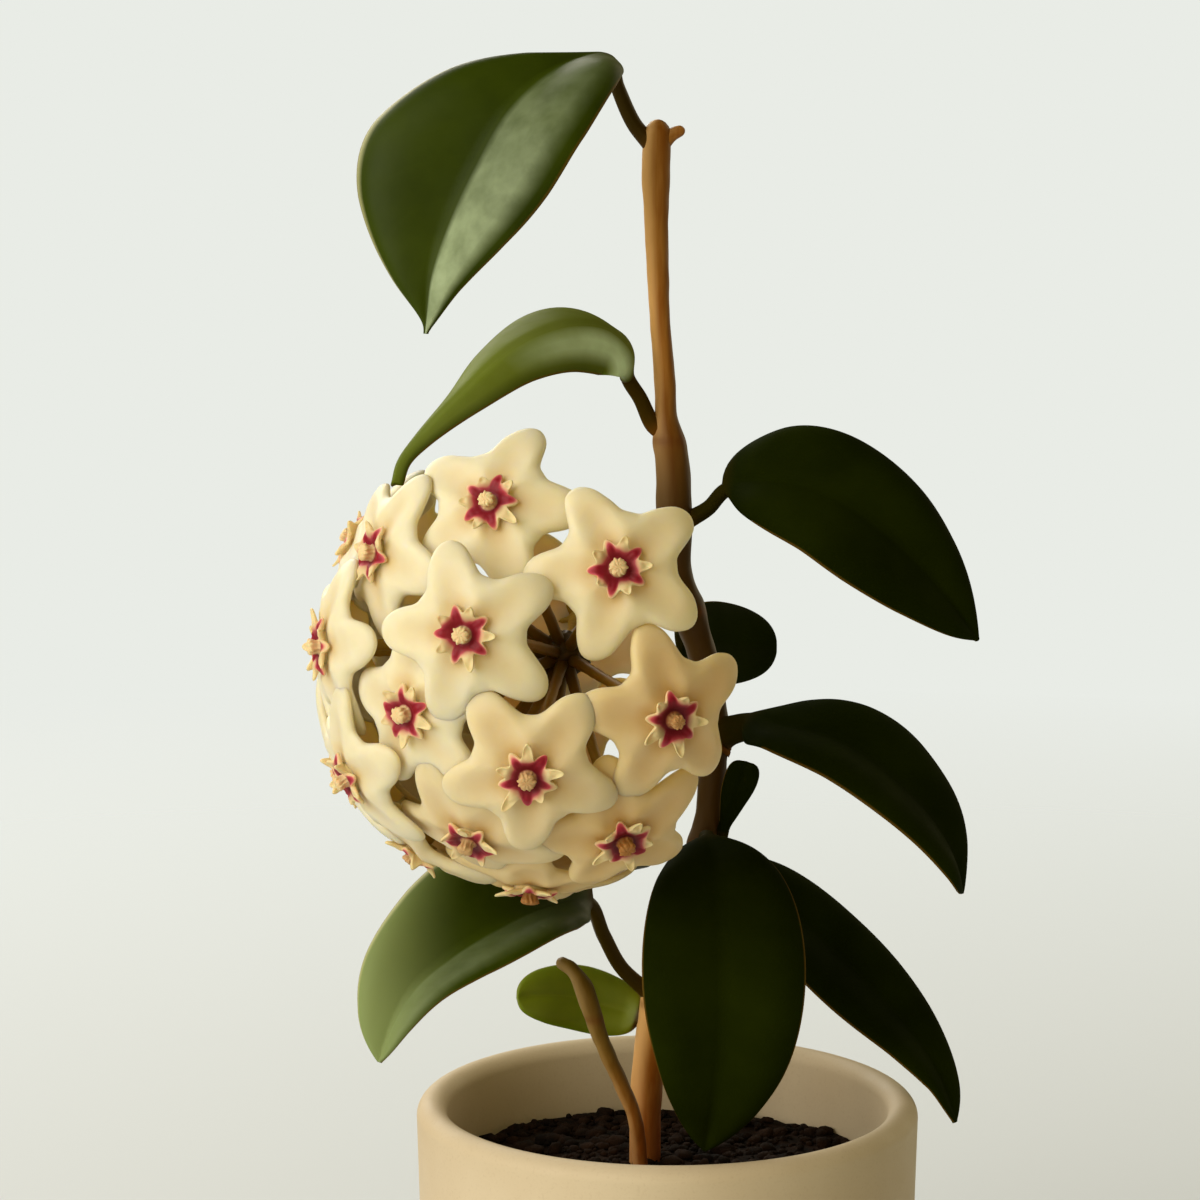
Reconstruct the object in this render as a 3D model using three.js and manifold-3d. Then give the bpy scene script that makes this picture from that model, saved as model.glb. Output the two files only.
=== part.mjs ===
// A potted hoya australis: a cut vine with waxy leaves and one ball of star flowers, in a small clay pot.
// Millimetres, +Z up. The origin is the centre of the pot's flat base, and the plant faces -Y.

import * as THREE from "three";
import { mergeVertices } from "three/addons/utils/BufferGeometryUtils.js";
import Module from "manifold-3d";

const wasm = await Module();
wasm.setup();

// Clear space between pieces that touch
const GAP = 0.3;

// Pot
const POT_RADIUS = 38;
const POT_HEIGHT = 72;
const POT_BASE_RADIUS = 36.2;
const POT_EDGE_ROUND = 2;
const LIP_ROUND = 2.3;
const WALL = 4.6;
const FLOOR = 6;
const POT_SEGMENTS = 48;

// Soil
const SOIL_LEVEL = 60.5;
const SOIL_RINGS = [10, 20, 27];
const SOIL_LUMP = 0.8;

// Stems: hand-laid centre lines, and thickness by height
const STEM_ROUTE = [
  [-3.4, 5, 38], [-3.3, 5, 59.8], [-3.2, 5, 70], [-2.3, 4, 80], [-0.8, 3, 89.5], [2.6, 1, 102.4], [5.8, 0, 112],
  [6.5, 0, 119.6], [6.8, 0, 128], [6.1, 0, 136.3], [3.4, 0, 145.4], [1.2, 0, 153], [0.8, 0, 161], [0.6, 0, 168],
  [-0.4, 0, 175.4], [-0.6, 0, 180.7], [-1.4, 0, 191], [-1.8, 0, 200.5], [-2, 0, 211], [-1.7, 0, 219.6],
];
const STEM_RADII = [
  [38, 2.2], [60, 2.4], [80, 2.5], [86, 2.6], [95, 2.1], [106, 2.2], [111, 2.8], [117, 2.1], [124, 2.1],
  [128, 2.5], [133, 2.1], [142, 2.2], [147, 2.6], [152, 2.2], [160, 2.7], [171, 2.5], [177, 1.6], [190, 1.5],
  [202, 1.7], [213, 2.1], [217, 1.9], [219.6, 1.1],
];
const STUB = { route: [[-1.6, 0, 215.5], [0.4, 0, 217.4], [2.2, 0, 218.2]], radius: 1 };
const SHOOT_ROUTE = [
  [-4, -1.5, 46], [-4.1, -2, 62.7], [-5.1, -4, 70.4], [-7, -5, 75.5], [-9.1, -6, 80.4], [-10.5, -6.5, 84.2],
  [-11.8, -7, 88.5], [-12.8, -7, 91.2], [-14.3, -6.3, 93.4], [-16.6, -5, 94.6],
];
const SHOOT_RADII = [[46, 1.2], [70, 1.1], [82, 1.2], [90, 1.5], [94.6, 1]];
const STEM_SIDES = 8;

// Leaves: stalk from the stem, midrib to the tip, and the way the face looks from base to tip.
// Each half of a blade, the one to the left of its rib first, has its own width and its own swell:
// rise rounds it at the base and fall at the tip.
const LEAF_THICKNESS = 1.3;
const STALK_RADIUS = 1.05;
const TIP_RADIUS = 0.35;
const LEAF_SIDES = 12;
const LOBE_ROUND = 0.04;
const LEAVES = [
  {
    name: "leaf_top",
    stalk: [[-2.1, 0, 215.1], [-5.2, 0, 218.9], [-7.6, -0.5, 224.2]],
    rib: [[-8.9, -3, 228], [-15.4, -10, 227.7], [-23, -15, 221.9], [-28, -18, 213.6], [-31.8, -20, 205.3],
      [-34.2, -21.5, 197.8], [-34.9, -22, 190.2]],
    face: [[0.1, -0.35, 1], [-0.6, -0.9, -0.1], [-0.38, -0.9, 0.1]],
    half: [17.9, 15.2], rise: [2.4, 0.75], fall: [1.7, 1], fold: 0.45, curl: 0.3,
  },
  {
    name: "leaf_arched",
    stalk: [[-2.2, 0, 174.6], [-4.3, -1.5, 178.8]],
    rib: [[-6.2, -3, 182.2], [-6.1, -5, 185.7], [-9.3, -8, 189.3], [-15.2, -13, 190.6], [-22.5, -19, 188],
      [-29.5, -25, 182.1], [-35.5, -29.5, 176.2], [-38, -32, 173.2], [-38.9, -34, 170.3]],
    face: [[0.9, -0.25, 0.3], [-0.2, -0.3, 0.9], [-0.4, -0.4, 0.8]],
    half: [9.8, 6.8], rise: [0.62, 0.42], fall: [1.2, 1.3], fold: -0.45, curl: 0.15, tipRadius: 1.1,
  },
  {
    name: "leaf_right_upper",
    stalk: [[2.9, 0, 160.5], [5.8, -2, 162.5]],
    rib: [[8.4, -4, 165.5], [14.7, -8, 167.2], [22.6, -11, 165.8], [30.5, -13, 160.8], [37.1, -13, 154.5],
      [41.9, -12, 148.7], [45.1, -10, 144.1]],
    face: [[0.25, -0.75, 0.6], [0.5, -0.75, 0.35]],
    half: [12, 11.6], rise: [0.75, 0.42], fall: [0.92, 0.8], fold: 0.3, curl: 0.25,
  },
  {
    name: "leaf_back",
    stalk: [[2.9, 0, 147.5], [2.4, 4, 145.4]],
    rib: [[2.1, 9, 142.4], [4.3, 15, 139.9], [7.9, 21, 138.4], [12.1, 27, 137.1], [17.3, 32, 136]],
    face: [[0.8, -0.5, 0.1], [0.85, -0.45, 0.1]],
    half: [6.6, 6.6], rise: [0.4, 0.4], fall: [0.38, 0.38], fold: 0.25, curl: 0.2, steps: 9,
  },
  {
    name: "leaf_right_middle",
    stalk: [[7.8, 0, 128], [9.5, -2, 129.1]],
    rib: [[12.1, -4, 130], [18.6, -8, 130.1], [25.8, -11, 128.4], [32.6, -13, 123.8], [38.3, -13, 117.8],
      [41.7, -12, 111.8], [43.3, -10, 106.1]],
    face: [[0.3, -0.45, 0.85], [0.75, -0.4, 0.5]],
    half: [11.8, 11.8], rise: [0.55, 0.5], fall: [0.75, 0.65], fold: 0.35, curl: 0.25, stalkRadius: 2,
  },
  {
    name: "leaf_bud",
    stalk: [[7.5, 0, 111.6]],
    rib: [[8.2, -2, 113.9], [9.1, -3.5, 116.8], [9.9, -4.5, 119.6], [10.8, -5, 122.3], [11.6, -5, 124.9]],
    face: [[0.3, -0.95, 0.1], [0.3, -0.95, 0.1]],
    half: [2.7, 2.7], rise: [1, 1], fall: [0.28, 0.28], fold: 0.2, curl: 0.2,
    stalkRadius: 0.9, thickness: 1.1, steps: 7,
  },
  {
    name: "leaf_front",
    stalk: [[6, 0, 110.4], [5.6, -5, 113.3]],
    rib: [[5.8, -10, 114.1], [6.7, -18, 111.1], [7.5, -24, 104.6], [7.7, -27, 96.4], [7.5, -27, 87.5],
      [6.5, -25, 78.7], [5.2, -22, 70.3]],
    face: [[0, -0.7, 0.7], [0, -1, -0.05]],
    half: [12.2, 12.2], rise: [0.62, 0.62], fall: [0.75, 0.75], fold: 0.25, curl: 0.25,
  },
  {
    name: "leaf_right_lower",
    stalk: [[6.9, 0, 111], [8.5, 3, 109.4]],
    rib: [[10.3, 6, 106.2], [16.7, 9, 100.2], [24.2, 11, 93.2], [31.7, 11, 85.9], [38.1, 9, 78.8], [42.1, 6, 72.7],
      [43.9, 2, 67.5]],
    face: [[0.35, -0.6, 0.7], [0.7, -0.6, 0.4]],
    half: [9.8, 8.8], rise: [0.5, 0.5], fall: [0.75, 0.75], fold: 0.3, curl: 0.25,
  },
  {
    name: "leaf_left_lower",
    stalk: [[-1.8, 3.5, 86.3], [-6.9, 1, 91.9], [-9.6, -2, 97.6]],
    rib: [[-12, -6, 103.6], [-18.3, -13, 104.5], [-25.1, -20, 102.9], [-31.6, -25, 99.9], [-36.8, -29, 96.2],
      [-39.8, -31, 91.7], [-41.8, -32, 86.3]],
    face: [[0, -0.8, 0.55], [-0.13, -0.61, 0.78], [-0.4, -0.75, 0.5]],
    half: [14.5, 8.5], rise: [0.35, 0.6], fall: [0.72, 0.78], fold: 0.6, curl: 0.25, lobe: 28,
  },
  {
    name: "leaf_small_low",
    stalk: [[-1.8, 3.5, 82.8]],
    rib: [[-4.1, 5, 83.4], [-9.3, 5.5, 84.9], [-13.9, 5, 86.3], [-18.6, 3.5, 87], [-22.8, 2, 87]],
    face: [[0, -1, 0.25], [0, -1, 0.25]],
    half: [5, 5], rise: [0.36, 0.36], fall: [0.4, 0.4], fold: 0.15, curl: 0.2,
    stalkRadius: 1.4, thickness: 1.1, steps: 8,
  },
];

// Flower ball: each flower's direction and distance from the centre, the way it faces, and its turn in degrees
const BALL_CENTRE = [-15.2, -30, 145.3];
const KNOT_RADIUS = 3.6;
const STALK_ROUTE = [[2.8, 0, 147], [0.5, -7, 150], [-6, -17, 150.5], [-12, -25, 148], [-15.2, -30, 145.3]];
const STALK_THICK = 1.3;
const PEDICEL_RADIUS = 0.7;
const FLOWERS = [
  { way: [-0.29, -0.63, 0.72], far: 34.1, face: [-0.29, -0.86, 0.43], turn: 14 },
  { way: [-0.62, -0.78, -0.1], far: 34, face: [-0.64, -0.76, -0.05], turn: -5 },
  { way: [-0.76, -0.43, 0.49], far: 34.1, face: [-0.86, -0.47, 0.19], turn: 24 },
  { way: [-0.94, -0.33, 0.09], far: 35.5, face: [-0.95, -0.3, 0.02], turn: 9 },
  { way: [-0.81, -0.42, -0.4], far: 35, face: [-0.85, -0.35, -0.4], turn: 3 },
  { way: [-0.37, -0.69, -0.62], far: 34.5, face: [-0.36, -0.62, -0.7], turn: -21 },
  { way: [0.24, -0.74, -0.62], far: 34, face: [0.26, -0.78, -0.57], turn: -20 },
  { way: [-0.14, -0.3, -0.94], far: 33.2, face: [-0.1, -0.33, -0.94], turn: 12 },
  { way: [0.43, -0.9, -0.1], far: 34, face: [0.43, -0.9, -0.1], turn: -12 },
  { way: [-0.13, -0.95, -0.3], far: 34.6, face: [-0.08, -0.97, -0.23], turn: -34 },
  { way: [-0.36, -0.9, 0.23], far: 34.8, face: [-0.24, -0.96, 0.11], turn: -18 },
  { way: [0.21, -0.85, 0.48], far: 35.1, face: [0.04, -0.97, 0.26], turn: -22 },
  { way: [-0.86, 0.16, 0.45], far: 34, face: [-0.86, 0.16, 0.45], turn: 15 },
  { way: [-0.97, 0.23, -0.02], far: 34, face: [-0.97, 0.23, -0.02], turn: 6 },
  { way: [-0.86, 0.16, -0.49], far: 34, face: [-0.86, 0.16, -0.49], turn: 3 },
  { way: [-0.6, -0.05, -0.8], far: 33.5, face: [-0.6, -0.05, -0.8], turn: -12 },
  { way: [-0.69, 0.67, 0.26], far: 34, face: [-0.69, 0.67, 0.26], turn: 15 },
  { way: [-0.69, 0.67, -0.25], far: 34, face: [-0.69, 0.67, -0.25], turn: 12 },
  { way: [-0.48, 0.53, -0.69], far: 34, face: [-0.48, 0.53, -0.69], turn: 6 },
  { way: [-0.12, 0.28, -0.94], far: 33, face: [-0.12, 0.28, -0.94], turn: 21 },
  { way: [0.04, 0.99, 0], far: 34, face: [0.04, 0.99, 0], turn: 30 },
  { way: [-0.13, 0.85, -0.51], far: 34, face: [-0.13, 0.85, -0.51], turn: 0 },
];
const LIFT_STEP = 0.2;

// One flower, in its own frame: z is the way it faces
const LOBES = 5;
const PETAL_REACH = 12;
const NOTCH_REACH = 7.5;
const PETAL_THICKNESS = 1.2;
const PETAL_TURNS = [5, 15, 26, 46, 57, 67];
const PETAL_RINGS = [0.4, 0.8];
const CORONA_RISE = 1.5;
const KNOB_TOP = 2.4;
const KNOB_RADIUS = 1.2;
const FOOT_RADIUS = 2;
const HORN_REACH = 6.1;
const STAR_REACH = 4.5;
const CORONA_WAIST = 3.5;

const MATERIALS = {
  pot: new THREE.MeshStandardMaterial({ color: "#dcc09a", roughness: 0.75 }),
  soil: new THREE.MeshStandardMaterial({ color: "#1c120a", roughness: 1 }),
  bark: new THREE.MeshStandardMaterial({ color: "#7a5a34", roughness: 0.8 }),
  leaf: new THREE.MeshStandardMaterial({ color: "#3f5a1c", roughness: 0.4 }),
  petal: new THREE.MeshStandardMaterial({ color: "#ece0bc", roughness: 0.5 }),
  corona: new THREE.MeshStandardMaterial({ color: "#a02840", roughness: 0.4 }),
};

const vector = ([x, y, z]) => new THREE.Vector3(x, y, z);
const mix = THREE.MathUtils.lerp;
const smooth = THREE.MathUtils.smoothstep;

// A closed skin over a row of rings, each end drawn in to a point.
// Rings turn anticlockwise seen from the last one; crease says which way a four-sided patch is split.
function skin(rings, first, last, crease) {
  const sides = rings[0].length;
  const points = [...rings.flat(), first, last];
  const faces = [];
  for (let i = 0; i < rings.length - 1; i++)
    for (let j = 0; j < sides; j++) {
      const k = (j + 1) % sides;
      const [a, b] = [i * sides + j, i * sides + k];
      const [c, d] = [b + sides, a + sides];
      if (crease(i, j)) faces.push(a, b, d, b, c, d);
      else faces.push(a, b, c, a, c, d);
    }
  const end = (rings.length - 1) * sides;
  for (let j = 0; j < sides; j++) {
    const k = (j + 1) % sides;
    faces.push(points.length - 2, k, j);
    faces.push(points.length - 1, end + j, end + k);
  }
  return new THREE.BufferGeometry().setFromPoints(points).setIndex(faces);
}

// A geometry as a solid that can be cut and joined, and back again.
function solidOf(geometry) {
  const bare = geometry.clone();
  bare.deleteAttribute("normal");
  bare.deleteAttribute("uv");
  const merged = mergeVertices(bare, 1e-4);
  return new wasm.Manifold(
    new wasm.Mesh({
      numProp: 3,
      vertProperties: merged.attributes.position.array,
      triVerts: new Uint32Array(merged.index.array),
    }),
  );
}

function geometryOf(solid) {
  const mesh = solid.getMesh();
  return new THREE.BufferGeometry()
    .setAttribute("position", new THREE.BufferAttribute(mesh.vertProperties, 3))
    .setIndex(new THREE.BufferAttribute(mesh.triVerts, 1));
}

// The main body of a solid that a cut has left in several bodies.
function largest(solid) {
  return solid.decompose().sort((a, b) => b.volume() - a.volume())[0];
}

// The value at a height, from a list of [height, value].
function byHeight(list, z) {
  const next = list.findIndex(([height]) => height > z);
  if (next < 0) return list.at(-1)[1];
  if (next === 0) return list[0][1];
  const [[z0, v0], [z1, v1]] = [list[next - 1], list[next]];
  return mix(v0, v1, smooth(z, z0, z1));
}

// A round stem along hand-laid points; grow makes it that much fatter and longer.
function stem(route, radiusAt, steps, grow = 0, sides = STEM_SIDES) {
  const curve = new THREE.CatmullRomCurve3(route.map(vector));
  const rings = [];
  const middles = [];
  const ends = [0, steps];
  for (let i = 0; i <= steps; i++) {
    const along = curve.getTangentAt(i / steps);
    const middle = curve.getPointAt(i / steps);
    if (ends.includes(i)) middle.addScaledVector(along, i ? grow : -grow);
    const across = new THREE.Vector3(0, 1, 0).cross(along).normalize();
    const other = along.clone().cross(across);
    const radius = radiusAt(middle.z) + grow;
    rings.push(
      Array.from({ length: sides }, (_, j) => {
        const turn = (2 * Math.PI * j) / sides;
        return middle
          .clone()
          .addScaledVector(across, radius * Math.cos(turn))
          .addScaledVector(other, radius * Math.sin(turn));
      }),
    );
    middles.push(middle);
  }
  return solidOf(skin(rings, middles[0], middles.at(-1), () => false));
}

// A leaf with its stalk, in one closed skin whose section is a folded oval.
function leaf({ stalk, rib, face, half, rise, fall, fold, curl, ...odd }) {
  const { stalkRadius = STALK_RADIUS, tipRadius = TIP_RADIUS } = odd;
  const { thickness = LEAF_THICKNESS, lobe = 0, steps = 12 } = odd;
  const stalkSteps = 3;
  const curve = new THREE.CatmullRomCurve3([...stalk, ...rib].map(vector));
  const spans = curve.points.length - 1;
  curve.arcLengthDivisions = 40 * spans;
  const bladeFrom = curve.getLengths()[40 * stalk.length] / curve.getLength();

  const views = face.map((view) => vector(view).normalize());
  if (views.length === 2) views.splice(1, 0, views[0].clone().add(views[1]).normalize());
  const looks = new THREE.QuadraticBezierCurve3(...views);

  const bow = (i, place) => place ** rise[i] * (1 - place) ** fall[i];
  const swell = (i, blade) => bow(i, blade) / bow(i, rise[i] / (rise[i] + fall[i]));

  const places = [];
  for (let i = 0; i < stalkSteps; i++) places.push([(bladeFrom * i) / stalkSteps, 0]);
  for (let i = 0; i <= steps; i++) {
    const blade = mix(i / steps, (1 - Math.cos((Math.PI * i) / steps)) / 2, 0.65);
    places.push([mix(bladeFrom, 1, blade), blade]);
  }

  const rings = places.map(([place, blade]) => {
    const middle = curve.getPointAt(place);
    const along = curve.getTangentAt(place);
    const up = looks.getPoint(blade);
    up.addScaledVector(along, -up.dot(along)).normalize();
    const side = along.clone().cross(up);
    const least = mix(stalkRadius, tipRadius, blade);
    const flat = smooth(blade, 0, 0.15);
    const thick = mix(2 * stalkRadius, thickness, flat) * (1 - 0.35 * smooth(blade, 0.75, 1));
    return Array.from({ length: LEAF_SIDES }, (_, j) => {
      const turn = (-2 * Math.PI * j) / LEAF_SIDES;
      const out = Math.cos(turn);
      const i = out > 0 ? 0 : 1;
      const width = Math.hypot(least, half[i] * swell(i, blade));
      const lift = (fold * (Math.sqrt(out * out + 0.012) - 0.11) - curl * out ** 4) * width * flat;
      const full = 1 - (1 - Math.min(width / half[i], 1)) ** 3;
      const back = out > 0 ? lobe * out * out * full * (1 - blade) ** 3 * smooth(blade, 0, LOBE_ROUND) : 0;
      return middle
        .clone()
        .addScaledVector(side, width * out * (1 - 0.12 * Math.abs(fold) * flat))
        .addScaledVector(up, lift + (thick / 2) * Math.sin(turn))
        .addScaledVector(along, -back);
    });
  });
  return solidOf(skin(rings, curve.getPoint(0), curve.getPoint(1), (i, j) => 2 * j >= LEAF_SIDES));
}

// The petals' reach at an angle, and the height of their face at a distance from the middle.
function petalReach(angle) {
  const notch = 0.5 - 0.5 * Math.cos(LOBES * angle);
  return mix(NOTCH_REACH, PETAL_REACH, (1 - notch) * (1 - notch ** 3));
}

function petalHeight(reach) {
  return -(reach ** 2) / 80 - 0.5 * (Math.max(reach - 7, 0) / 5) ** 2;
}

// The five petals, grown together at the middle.
function corolla() {
  const middles = Array.from({ length: LOBES }, (_, i) => (360 * i) / LOBES);
  const angles = middles.flatMap((middle) => PETAL_TURNS.map((turn) => THREE.MathUtils.degToRad(middle + turn)));
  const ring = (share, drop) =>
    angles.map((angle) => {
      const reach = petalReach(angle) * share;
      return vector([reach * Math.cos(angle), reach * Math.sin(angle), petalHeight(reach) - drop]);
    });
  const below = PETAL_RINGS.map((share) => ring(share, PETAL_THICKNESS));
  const above = PETAL_RINGS.map((share) => ring(share, 0)).reverse();
  const edge = ring(1, PETAL_THICKNESS / 2);
  const half = PETAL_TURNS.length / 2;
  return skin(
    [...below, edge, ...above],
    vector([0, 0, -PETAL_THICKNESS]),
    vector([0, 0, 0]),
    (i, j) => j % PETAL_TURNS.length < half === i < below.length,
  );
}

// The star in the middle of a flower: points over the petals, horns over the notches, and a knob.
function corona() {
  const reaches = [STAR_REACH, CORONA_WAIST, HORN_REACH, CORONA_WAIST];
  const count = LOBES * reaches.length;
  const ring = (reachAt, z) =>
    Array.from({ length: count }, (_, i) => {
      const angle = (2 * Math.PI * i) / count;
      const reach = reachAt(i);
      return vector([reach * Math.cos(angle), reach * Math.sin(angle), z]);
    });
  const foot = ring(() => FOOT_RADIUS, GAP);
  const rim = ring((i) => reaches[i % reaches.length], CORONA_RISE);
  const knob = ring(() => KNOB_RADIUS, CORONA_RISE + GAP);
  return skin([foot, rim, knob], vector([0, 0, GAP]), vector([0, 0, KNOB_TOP]), () => false);
}

// Where a flower stands: its x axis along one petal, its z axis the way it faces.
function flowerPlace({ way, face, turn }, distance) {
  const z = vector(face).normalize();
  const up = new THREE.Vector3(0, 0, 1);
  const x = up.addScaledVector(z, -up.dot(z)).normalize();
  x.applyAxisAngle(z, -THREE.MathUtils.degToRad(turn));
  const y = z.clone().cross(x);
  const origin = vector(BALL_CENTRE).addScaledVector(vector(way).normalize(), distance);
  return new THREE.Matrix4().makeBasis(x, y, z).setPosition(origin);
}

const plant = new THREE.Group();

function add(name, geometry, material, matrix = new THREE.Matrix4()) {
  const mesh = new THREE.Mesh(geometry, material);
  mesh.name = name;
  mesh.applyMatrix4(matrix);
  plant.add(mesh);
}

// Round stretch of a profile, from one angle to another, in degrees.
function arc(x, y, radius, from, to, steps) {
  return Array.from({ length: steps + 1 }, (_, i) => {
    const angle = THREE.MathUtils.degToRad(mix(from, to, i / steps));
    return new THREE.Vector2(x + radius * Math.cos(angle), y + radius * Math.sin(angle));
  });
}

// Pot: outer wall, rounded lip, inner wall and floor
const wallTop = POT_HEIGHT - LIP_ROUND;
const lipMiddle = POT_RADIUS - LIP_ROUND;
const insideTop = lipMiddle - LIP_ROUND;
const insideBase = POT_BASE_RADIUS - WALL;
const potProfile = [
  new THREE.Vector2(0, 0),
  ...arc(POT_BASE_RADIUS - POT_EDGE_ROUND, POT_EDGE_ROUND, POT_EDGE_ROUND, -90, 0, 3),
  ...arc(lipMiddle, wallTop, LIP_ROUND, 0, 180, 6),
  new THREE.Vector2(insideBase, FLOOR),
  new THREE.Vector2(0, FLOOR),
];
const pot = new THREE.LatheGeometry(potProfile, POT_SEGMENTS).rotateX(Math.PI / 2);
add("pot", geometryOf(solidOf(pot)), MATERIALS.pot);

// Stems, and the same stems a gap larger, to cut what meets them
const stemRadius = (z) => byHeight(STEM_RADII, z);
const shootRadius = (z) => byHeight(SHOOT_RADII, z);
const mainStem = (grow) =>
  stem(STEM_ROUTE, stemRadius, 40, grow).add(stem(STUB.route, () => STUB.radius, 3, grow));
const shoot = (grow) => stem(SHOOT_ROUTE, shootRadius, 14, grow);
const mainStemRoom = mainStem(GAP);
add("stem_main", geometryOf(mainStem(0)), MATERIALS.bark);
add("stem_side", geometryOf(shoot(0)), MATERIALS.bark);

// Soil: fills the pot to below the lip, lumpy on top, with a hole round each stem
const insideAt = (z) => mix(insideBase, insideTop, (z - FLOOR) / (wallTop - FLOOR)) - GAP;
const soilProfile = [
  new THREE.Vector2(0, FLOOR + GAP),
  new THREE.Vector2(insideAt(FLOOR + GAP), FLOOR + GAP),
  new THREE.Vector2(insideAt(SOIL_LEVEL), SOIL_LEVEL),
  ...SOIL_RINGS.toReversed().map((radius) => new THREE.Vector2(radius, SOIL_LEVEL)),
  new THREE.Vector2(0, SOIL_LEVEL),
];
const soil = new THREE.LatheGeometry(soilProfile, POT_SEGMENTS).rotateX(Math.PI / 2);
const soilPoints = soil.attributes.position;
for (let i = 0; i < soilPoints.count; i++) {
  const [x, y, z] = [soilPoints.getX(i), soilPoints.getY(i), soilPoints.getZ(i)];
  const inland = Math.hypot(x, y) < insideAt(SOIL_LEVEL) - 1;
  const lump = SOIL_LUMP * (Math.sin(0.31 * x + 1) * Math.cos(0.27 * y) + 0.5 * Math.sin(0.6 * x - 0.5 * y));
  if (inland && z > SOIL_LEVEL - 1) soilPoints.setZ(i, z + lump);
}
add("soil", geometryOf(solidOf(soil).subtract(mainStemRoom).subtract(shoot(GAP))), MATERIALS.soil);

// Leaves, each cut a gap clear of the stem that carries it
for (const shape of LEAVES)
  add(shape.name, geometryOf(largest(leaf(shape).subtract(mainStemRoom))), MATERIALS.leaf);

// Flowers, each moved out until it is clear of those before it
const petals = corolla();
const star = corona();
const petalsSolid = solidOf(petals);
const standing = [];
const pedicelEnds = [];
FLOWERS.forEach((flower, i) => {
  let distance = flower.far;
  let place = flowerPlace(flower, distance);
  let solid = petalsSolid.transform(place.elements);
  while (standing.some((other) => other.intersect(solid).volume() > 0)) {
    distance += LIFT_STEP;
    place = flowerPlace(flower, distance);
    solid = petalsSolid.transform(place.elements);
  }
  standing.push(solid);
  pedicelEnds.push(new THREE.Vector3(0, 0, -PETAL_THICKNESS - GAP).applyMatrix4(place));
  const number = String(i + 1).padStart(2, "0");
  add("corolla_" + number, petals, MATERIALS.petal, place);
  add("corona_" + number, star, MATERIALS.corona, place);
});

// Flower stalk: from the stem to a knot, and from the knot a thin pedicel to each flower
let stalk = stem(STALK_ROUTE, () => STALK_THICK, 8, 0, 6);
stalk = stalk.add(solidOf(new THREE.IcosahedronGeometry(KNOT_RADIUS, 1)).translate(BALL_CENTRE));
const centre = vector(BALL_CENTRE);
pedicelEnds.forEach((end, i) => {
  const knee = end.clone().addScaledVector(vector(FLOWERS[i].face).normalize(), -8);
  const root = centre.clone().lerp(knee, 0.06);
  const middle = root.clone().lerp(knee, 0.6);
  const route = [root, middle, knee, end].map((point) => point.toArray());
  stalk = stalk.add(stem(route, () => PEDICEL_RADIUS, 3, 0, 4));
});
add("flower_stalk", geometryOf(largest(stalk.subtract(mainStemRoom))), MATERIALS.bark);

export default plant;
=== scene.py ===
import math
import random

import bmesh
import bpy
import numpy as np
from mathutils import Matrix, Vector, noise


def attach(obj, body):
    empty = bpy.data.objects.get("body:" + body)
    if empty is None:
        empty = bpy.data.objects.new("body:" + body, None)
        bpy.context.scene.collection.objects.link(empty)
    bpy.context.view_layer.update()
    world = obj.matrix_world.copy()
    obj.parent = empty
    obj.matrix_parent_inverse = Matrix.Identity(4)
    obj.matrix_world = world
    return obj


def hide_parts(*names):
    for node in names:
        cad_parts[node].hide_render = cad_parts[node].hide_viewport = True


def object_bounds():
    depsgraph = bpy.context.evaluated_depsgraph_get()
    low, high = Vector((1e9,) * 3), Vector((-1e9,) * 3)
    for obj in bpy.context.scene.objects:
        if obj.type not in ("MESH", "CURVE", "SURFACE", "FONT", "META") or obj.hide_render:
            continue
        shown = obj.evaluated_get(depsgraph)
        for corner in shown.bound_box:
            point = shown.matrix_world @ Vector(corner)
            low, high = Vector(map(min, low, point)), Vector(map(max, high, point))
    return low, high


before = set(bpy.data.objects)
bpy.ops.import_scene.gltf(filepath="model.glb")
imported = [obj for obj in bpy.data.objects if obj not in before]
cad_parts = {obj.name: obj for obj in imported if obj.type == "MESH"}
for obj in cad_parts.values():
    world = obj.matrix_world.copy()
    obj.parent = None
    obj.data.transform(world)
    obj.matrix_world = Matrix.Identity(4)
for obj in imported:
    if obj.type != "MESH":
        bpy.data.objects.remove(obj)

# The looks of a potted hoya australis. Lengths in the tables are millimetres, in the part's own frame.
MM = 0.001
CAD_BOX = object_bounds()
SEED = 7

# Pot and soil
POT_RADIUS = 38
POT_HEIGHT = 72
POT_BASE_RADIUS = 36.2
POT_EDGE_ROUND = 2
LIP_ROUND = 2.3
WALL = 4.6
FLOOR = 6
FLOOR_ROUND = 1.5
SOIL_LEVEL = 60.5
SOIL_GAP = 0.3
POT_SIDES = 144
SOIL_SIDES = 120
CRUMBS = ((2, 420, (0.7, 1.5)), (1, 1500, (0.3, 0.75)))  # fineness, count, smallest and largest radius

# Stems
STEM_ROUTE = [
    (-3.4, 5, 38), (-3.3, 5, 59.8), (-3.2, 5, 70), (-2.3, 4, 80), (-0.8, 3, 89.5), (2.6, 1, 102.4),
    (5.8, 0, 112), (6.5, 0, 119.6), (6.8, 0, 128), (6.1, 0, 136.3), (3.4, 0, 145.4), (1.2, 0, 153),
    (0.8, 0, 161), (0.6, 0, 168), (-0.4, 0, 175.4), (-0.6, 0, 180.7), (-1.4, 0, 191), (-1.8, 0, 200.5),
    (-2, 0, 211), (-1.7, 0, 219.6),
]
STEM_RADII = [
    (38, 2.2), (60, 2.4), (80, 2.5), (86, 2.6), (95, 2.1), (106, 2.2), (111, 2.8), (117, 2.1),
    (124, 2.1), (128, 2.5), (133, 2.1), (142, 2.2), (147, 2.6), (152, 2.2), (160, 2.7), (171, 2.5),
    (177, 1.6), (190, 1.5), (202, 1.7), (213, 2.1), (217, 2), (219.6, 1.7),
]
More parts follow.
